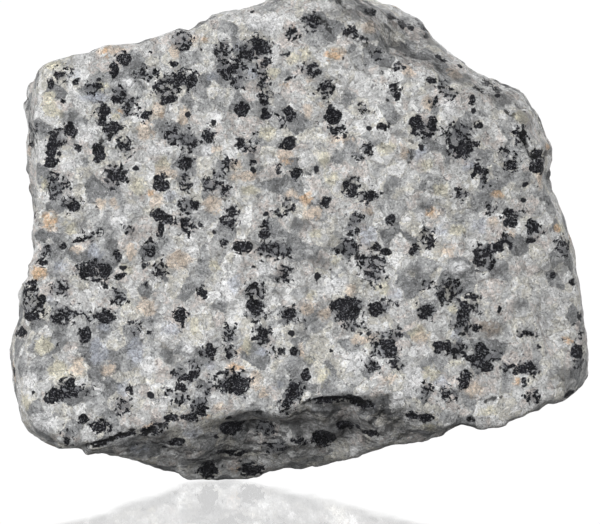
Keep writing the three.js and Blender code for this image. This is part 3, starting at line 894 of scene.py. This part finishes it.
@dataclass(frozen=True)
class GraniteFinish:
    """Coarse grey granite, freshly broken: a mosaic of feldspar and quartz with black mica. Sizes in millimetres."""

    mosaic: float = 3.0  # a grain of feldspar or quartz
    mosaic_blur: float = 0.16  # share of a grain over which it runs into the next
    clouds: float = 2.2  # the cloudy tint within the grains
    facet: float = 1.1  # the broken face of a crystal
    flake: float = 0.55  # a flake of mica in a flecked patch
    stray: float = 2.1  # the cells that may hold a small dark grain
    stray_share: float = 0.84  # of them that hold none
    sugar: float = 0.3  # the finest grain
    ragged: float = 0.8  # the corners on the edge of a placed grain
    ragged_reach: float = 0.9  # from their innermost to their outermost
    compact: float = 0.65  # share of that raggedness on the mica
    stroke: float = 0.26  # the width of a cleavage line
    stroke_stretch: Row = (1.0, 4.5, 1.0)
    stroke_turns: tuple[Row, ...] = ((0.4, 0.2, 0.5), (1.2, -0.3, 2.4), (-0.5, 0.8, 1.3))
    streak: float = 0.9  # the width of a dark streak on the weathered faces, where the streaks add to their painted shade
    streak_stretch: Row = (4.5, 1.0, 1.0)
    streak_turns: Row = (0.0, 0.6)  # how it runs low on the stone and high on it
    streak_heights: Row = (30.0, 45.0)  # between which the one passes into the other
    wander: float = 1.6  # how far noise shifts a place
    wander_waves: float = 0.7  # of that noise in a millimetre
    wander_detail: float = 4.0
    wander_roughness: float = 0.72
    roughness: float = 0.68
    polished: float = -0.25  # added to it on the smoothest grains
    mica_polished: float = -0.08  # and on the mica
    refraction: float = 1.5
    gloss: float = 0.14
    facet_tip: float = 0.36  # how steeply the facets are tipped
    stroke_height: float = 0.12
    grit: Row = (0.8, 0.4)  # coarse relief: its size and its height
    fine_grit: Row = (0.3, 0.08)
    quartz: Row = (0.27, 0.275, 0.28)
    grey: Row = (0.46, 0.465, 0.47)
    pale: Row = (0.68, 0.68, 0.675)
    white: Row = (0.86, 0.86, 0.86)
    warm: Row = (0.69, 0.665, 0.60)
    rosy: Row = (0.68, 0.62, 0.585)
    bluish: Row = (0.55, 0.58, 0.66)
    bright: Row = (0.95, 0.95, 0.96)
    cream: Row = (0.78, 0.73, 0.56)
    peach: Row = (0.82, 0.68, 0.55)
    rust: Row = (0.74, 0.50, 0.30)
    # Smoky quartz, and the painted shade of its wide patches.
    smoke_and_shade: Row = (0.12, 0.12, 0.12)
    soot: Row = (0.15, 0.155, 0.17)
    mica: Row = (0.004, 0.004, 0.005)
    mica_pale: Row = (0.018, 0.018, 0.023)
    mica_glint: Row = (0.3, 0.305, 0.33)
    stray_dark: Row = (0.03, 0.03, 0.035)
    streak_dark: Row = (0.05, 0.05, 0.052)
    # Painted shade in the cracks: near-black.
    crack: Row = (0.015, 0.015, 0.015)

    def material(self) -> bpy.types.Material:
        """Builds the material's nodes.

        Returns:
            The finished material.
        """
        material = bpy.data.materials.new("granite")
        tree = ShaderTree(material)
        place = self.place(tree)
        edge = self.edge(tree, place)
        mosaic = tree.cells(place, self.mosaic, "SMOOTH_F1")
        mosaic.inputs["Smoothness"].default_value = self.mosaic_blur
        drawn = tree.split(mosaic.outputs["Color"])
        strokes = self.strokes(tree, place, drawn[1])
        colour = self.feldspar(tree, place, edge, drawn[0], strokes)
        colour = self.streaks(tree, place, colour)
        colour = self.dark_grains(tree, place, edge, colour)
        mica = tree.rise(self.inside(tree, Mineral.MICA, edge), -0.05, 0.1)
        roughness = tree.math("MULTIPLY_ADD", drawn[2], self.polished, self.roughness)
        relief = {"Height": self.relief(tree, place, strokes), "Strength": 1.0, "Distance": MM}
        values = {
            "Base Color": colour,
            "Roughness": tree.math("MULTIPLY_ADD", mica, self.mica_polished, roughness),
            "IOR": self.refraction,
            "Specular IOR Level": self.gloss,
            "Normal": tree.add("ShaderNodeBump", relief).outputs[0],
        }
        surface = tree.add("ShaderNodeBsdfPrincipled", values)
        tree.add("ShaderNodeOutputMaterial", {"Surface": surface.outputs[0]})
        return material

    def place(self, tree: ShaderTree) -> Socket:
        """Where a point lies, in millimetres, shifted a little by noise so that no grain has straight sides."""
        plain = tree.vector("MULTIPLY", tree.place(), (1.0 / MM,) * 3)
        waves = {"Vector": plain, "Scale": self.wander_waves, "Detail": self.wander_detail}
        noise = tree.add("ShaderNodeTexNoise", {**waves, "Roughness": self.wander_roughness})
        return tree.vector("MULTIPLY_ADD", noise.outputs["Color"], (self.wander,) * 3, plain)

    def edge(self, tree: ShaderTree, place: Socket) -> Socket:
        """How ragged the placed grains' edges are, in millimetres: small angular cells and a little finer noise."""
        drawn = tree.split(tree.cells(place, self.ragged).outputs["Color"])[1]
        angular = tree.math("MULTIPLY_ADD", drawn, self.ragged_reach, -self.ragged_reach / 2)
        return tree.math("MULTIPLY_ADD", tree.noise(place, 0.5), 0.25, angular)

    def inside(self, tree: ShaderTree, mineral: Mineral, edge: Socket) -> Socket:
        """How far inside a mineral's grains a point lies, in millimetres, with their edges made ragged."""
        return tree.math("ADD", tree.attribute(mineral.value), edge)

    def strokes(self, tree: ShaderTree, place: Socket, drawn: Socket) -> Socket:
        """Fine cleavage lines, from about -0.5 to 0.5, which run one of three ways in each cell of the mosaic."""
        lines = [
            tree.noise(tree.turned(place, turn, self.stroke_stretch), self.stroke, 2.0, 0.6)
            for turn in self.stroke_turns
        ]
        chosen = tree.pick(tree.math("GREATER_THAN", drawn, 0.4), lines[0], lines[1])
        return tree.pick(tree.math("GREATER_THAN", drawn, 0.6), chosen, lines[2])

    def feldspar(self, tree: ShaderTree, place: Socket, edge: Socket, drawn: Socket, strokes: Socket) -> Socket:
        """The pale mosaic with its coloured grains, darker on the weathered faces: partly weathering, partly painted
        shade.
        """
        stops = (
            (0.04, self.quartz), (0.2, self.grey), (0.36, self.pale), (0.5, self.warm), (0.62, self.white),
            (0.78, self.pale), (0.9, self.rosy), (0.98, self.pale),
        )
        colour = tree.ramp(tree.math("ADD", tree.noise(place, self.clouds, 3.0, 0.6), drawn), stops)
        for mineral, tint, share in (
            (Mineral.WHITE, self.bright, 0.75), (Mineral.BLUISH, self.bluish, 0.6), (Mineral.CREAM, self.cream, 0.65),
            (Mineral.PEACH, self.peach, 0.7), (Mineral.RUST, self.rust, 0.75),
        ):
            colour = tree.mix(tree.rise(self.inside(tree, mineral, edge), -0.35, 0.5, 0.0, share), colour, tint)
        weathered_and_shaded = tree.attribute("weathered_and_shaded")
        facets = tree.split(tree.cells(place, self.facet).outputs["Color"])[0]
        rims = tree.cells(place, self.mosaic, "DISTANCE_TO_EDGE").outputs["Distance"]
        shade = tree.math("MULTIPLY_ADD", facets, 0.4, 0.76)
        for factor in (
            tree.math("MULTIPLY_ADD", tree.noise(place, self.sugar, 2.0, 0.7), 1.5, 1.0),
            tree.math("MULTIPLY_ADD", strokes, tree.math("MULTIPLY_ADD", weathered_and_shaded, 0.6, 1.6), 1.0),
            tree.rise(tree.noise(place, 0.6, 3.0, 0.7), -0.22, -0.03, 0.4, 1.0),
            tree.rise(rims, 0.0, 0.05, 0.68, 1.0),
            # About a quarter darker on the weathered faces: partly weathering, partly painted shade.
            tree.math("MULTIPLY_ADD", weathered_and_shaded, -0.25, 1.02),
        ):
            shade = tree.math("MULTIPLY", shade, factor)
        colour = tree.mix(1.0, colour, shade, "MULTIPLY")
        sparkle = tree.rise(tree.noise(place, 0.22, 1.0), 0.14, 0.22, 0.0, 0.6)
        sparkle = tree.math("MULTIPLY", sparkle, tree.math("MULTIPLY_ADD", weathered_and_shaded, -0.6, 1.0))
        return tree.mix(sparkle, colour, self.bright)

    def streaks(self, tree: ShaderTree, place: Socket, colour: Socket) -> Socket:
        """Dark streaks on the weathered faces, partly painted shade: level low on the stone, running down-right high
        on it.
        """
        level, falling = (
            tree.noise(tree.turned(place, (0.0, turn, 0.0), self.streak_stretch), self.streak, 4.0, 0.65)
            for turn in self.streak_turns
        )
        both = tree.pick(tree.rise(tree.axes(place)["Z"], *self.streak_heights), level, falling)
        dark = tree.math("MULTIPLY", tree.rise(both, -0.02, 0.12, 0.0, 0.8), tree.attribute("weathered_and_shaded"))
        return tree.mix(dark, colour, self.streak_dark)

    def dark_grains(self, tree: ShaderTree, place: Socket, edge: Socket, colour: Socket) -> Socket:
        """Lays dark quartz, patches of painted shade, flecked patches, mica and cracks in painted shade over the pale
        mosaic.
        """
        # Smoky quartz, and the wide patches over the underside and the shoulder that are painted shade.
        smoky_and_shade = tree.rise(self.inside(tree, Mineral.SMOKY_AND_SHADE, edge), -0.5, 0.8, 0.0, 0.55)
        colour = tree.mix(smoky_and_shade, colour, self.smoke_and_shade)
        flake = tree.split(tree.cells(place, self.flake).outputs["Color"])
        glint = tree.rise(tree.noise(place, 0.26, 2.0, 0.7), 0.06, 0.16)
        black = tree.mix(glint, tree.mix(flake[1], self.mica, self.mica_pale), self.mica_glint)
        within = self.inside(tree, Mineral.FLECKED, edge)
        sooty = tree.math("MULTIPLY_ADD", tree.noise(place, 0.4, 3.0, 0.7), 1.6, within)
        colour = tree.mix(tree.rise(sooty, -0.5, 0.5, 0.0, 0.66), colour, self.soot)
        colour = tree.mix(tree.math("LESS_THAN", flake[0], tree.rise(within, -0.9, 0.5, 0.0, 0.58)), colour, black)
        stray = tree.cells(place, self.stray)
        drawn = tree.split(stray.outputs["Color"])
        radius = tree.math("MULTIPLY_ADD", drawn[1], 0.22, 0.08)
        dark = tree.rise(tree.math("SUBTRACT", radius, stray.outputs["Distance"]), -0.02, 0.03)
        dark = tree.math("MULTIPLY", tree.math("GREATER_THAN", drawn[0], self.stray_share), dark)
        colour = tree.mix(dark, colour, self.stray_dark)
        compact = tree.math("MULTIPLY_ADD", edge, self.compact, tree.attribute(Mineral.MICA.value))
        colour = tree.mix(tree.rise(compact, -0.18, -0.04), colour, black)
        # The cracks painted near-black, as painted shade in their grooves, with ragged edges.
        crack = tree.rise(tree.math("MULTIPLY_ADD", edge, 0.8, tree.attribute("crevice")), -0.1, 0.2, 0.0, 0.8)
        return tree.mix(crack, colour, self.crack)

    def relief(self, tree: ShaderTree, place: Socket, strokes: Socket) -> Socket:
        """Height in millimetres: a tipped facet for each small cell, the cleavage lines and two sizes of noise."""
        cell = tree.cells(place, self.facet)
        away = tree.vector("SUBTRACT", place, cell.outputs["Position"])
        tip = tree.vector("SUBTRACT", cell.outputs["Color"], (0.5, 0.5, 0.5))
        height = tree.math("MULTIPLY", tree.vector("DOT_PRODUCT", away, tip), self.facet_tip)
        height = tree.math("MULTIPLY_ADD", strokes, self.stroke_height, height)
        height = tree.math("MULTIPLY_ADD", tree.noise(place, self.grit[0], 3.0, 0.65), self.grit[1], height)
        return tree.math("MULTIPLY_ADD", tree.noise(place, self.fine_grit[0]), self.fine_grit[1], height)


@dataclass(frozen=True)
class Lamp:
    """A soft square lamp. Metres, and where it stands as [right, up, out] from the stone's core."""

    name: str
    towards: Row
    power: float
    size: float
    distance: float

    def build(self, stone: Stone) -> bpy.types.Object:
        """Makes the lamp, turned to the stone.

        Args:
            stone: what it lights.

        Returns:
            The lamp's object.
        """
        towards = Vector(np.array(self.towards) @ stone.stand()).normalized()
        data = bpy.data.lights.new(self.name, "AREA")
        data.energy, data.size = self.power, self.size
        lamp = into_scene(self.name, data)
        lamp.location = Vector(stone.core) * MM + towards * self.distance
        lamp.rotation_mode = "QUATERNION"
        lamp.rotation_quaternion = (-towards).to_track_quat("-Z", "Y")
        return lamp


@dataclass
class Studio:
    """A plain pale glossy floor under soft light, as bright behind the stone as the photograph's background."""

    lamps: tuple[Lamp, ...] = (
        Lamp("key", (-0.30, 0.40, 0.87), 4.5, 0.6, 0.8),
        Lamp("left", (-0.92, -0.15, 0.3), 1.3, 0.4, 0.6),
        Lamp("right", (0.95, -0.12, 0.05), 1.0, 0.4, 0.6),
        Lamp("back", (0.15, 0.45, -0.88), 3.1, 0.6, 0.8),
    )
    white: float = 1.03  # how bright the floor and the background look
    around: float = 0.35  # how bright the surroundings are in reflections
    above: float = 0.42  # and as plain light, from above and from below
    below: float = 0.04
    skyline: Row = (-0.35, 0.3)  # the heights between which the one passes into the other
    floor_radius: float = 3.0
    floor_corners: int = 96
    foot: Row = (-0.0131, -0.019)  # where the stone's nearest point meets the floor, in metres
    blunt: float = 0.004  # how round the mirrored patch is there
    spread: float = 1.05  # how steeply its sides fall away from there
    skew: float = 0.15  # and how much more on the left
    ripple: Row = (0.007, 0.008)  # of its sides, in metres: the size and the height
    fade: Row = (0.05, 0.11)  # where it ends, in metres from the middle
    polish: float = 1.5  # times the mirror that its refraction gives
    refraction: float = 1.8
    blur: float = 0.06

    def mirrored(self, tree: ShaderTree) -> Socket:
        """Where the floor mirrors: before a blunt corner at the foot, over a short way and with rippled sides."""
        place = tree.place()
        axes = tree.axes(place)
        aside = tree.math("SUBTRACT", axes["X"], self.foot[0])
        ahead = tree.math("SUBTRACT", self.foot[1], axes["Y"])
        away = tree.math("POWER", tree.math("MULTIPLY_ADD", aside, aside, self.blunt**2), 0.5)
        ahead = tree.math("MULTIPLY_ADD", tree.math("SUBTRACT", away, self.blunt), -self.spread, ahead)
        ahead = tree.math("MULTIPLY_ADD", aside, self.skew, ahead)
        ahead = tree.math("MULTIPLY_ADD", tree.noise(place, self.ripple[0]), self.ripple[1], ahead)
        near = tree.rise(tree.vector("LENGTH", place), *self.fade, 1.0, 0.0)
        return tree.math("MULTIPLY", tree.rise(ahead, -0.002, 0.003, 0.0, self.polish), near)

    def floor(self) -> bpy.types.Object:
        """The floor: a disc that glows white and, before the stone's foot, mirrors it faintly without lighting it."""
        angle = np.linspace(0.0, 2.0 * math.pi, self.floor_corners + 1)[:-1]
        rim = np.stack([np.cos(angle), np.sin(angle), np.zeros(self.floor_corners)], -1) * self.floor_radius
        mesh = bpy.data.meshes.new("floor")
        mesh.from_pydata(rim, [], [list(range(self.floor_corners))])
        material = bpy.data.materials.new("pale_floor")
        mesh.materials.append(material)
        tree = ShaderTree(material)
        share = tree.add("ShaderNodeFresnel", {"IOR": self.refraction}).outputs[0]
        share = tree.math("MULTIPLY", share, self.mirrored(tree))
        glow = tree.add("ShaderNodeEmission", {"Strength": self.white})
        mirror = tree.add("ShaderNodeBsdfGlossy", {"Color": (self.white / self.around,) * 3, "Roughness": self.blur})
        both = tree.add("ShaderNodeMixShader", {0: share, 1: glow.outputs[0], 2: mirror.outputs[0]})
        tree.add("ShaderNodeOutputMaterial", {"Surface": both.outputs[0]})
        floor = into_scene("floor", mesh)
        floor.visible_diffuse = floor.visible_glossy = floor.visible_shadow = False
        return floor

    def surroundings(self) -> None:
        """Light from all round, stronger from above; the camera sees it white, and reflections see it even."""
        world = bpy.data.worlds.new("studio")
        bpy.context.scene.world = world
        tree = ShaderTree(world)
        high = tree.axes(tree.add("ShaderNodeTexCoord").outputs["Generated"])["Z"]
        values = dict(enumerate((high, *self.skyline, self.below, self.above)))
        light = tree.add("ShaderNodeMapRange", values).outputs[0]
        ray = tree.add("ShaderNodeLightPath").outputs
        light = tree.pick(ray["Is Glossy Ray"], light, self.around)
        light = tree.pick(ray["Is Camera Ray"], light, self.white)
        glow = tree.add("ShaderNodeBackground", {"Strength": light})
        tree.add("ShaderNodeOutputWorld", {"Surface": glow.outputs[0]})

    def build(self, stone: Stone) -> None:
        """Sets the floor and the lights around the stone."""
        self.floor()
        for lamp in self.lamps:
            lamp.build(stone)
        self.surroundings()
        settings = bpy.context.scene.view_settings
        settings.view_transform, settings.look = "Standard", "None"


def main() -> None:
    """Builds the stone in its studio and notes how many points and faces its mesh has."""
    logging.basicConfig(level=logging.INFO, format="%(name)s: %(message)s")
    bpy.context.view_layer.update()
    photograph = Photograph()
    stone = Stone()
    lump = stone.build(photograph)
    lump.data.materials.append(GraniteFinish().material())
    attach(lump, "root")
    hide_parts("granite_stone")
    LOG.info("granite_lump: %d points, %d faces", len(lump.data.vertices), len(lump.data.polygons))
    Studio().build(stone)
    photograph.take(Vector(stone.core) * MM)
    bpy.context.view_layer.update()


if __name__ == "__main__":
    main()
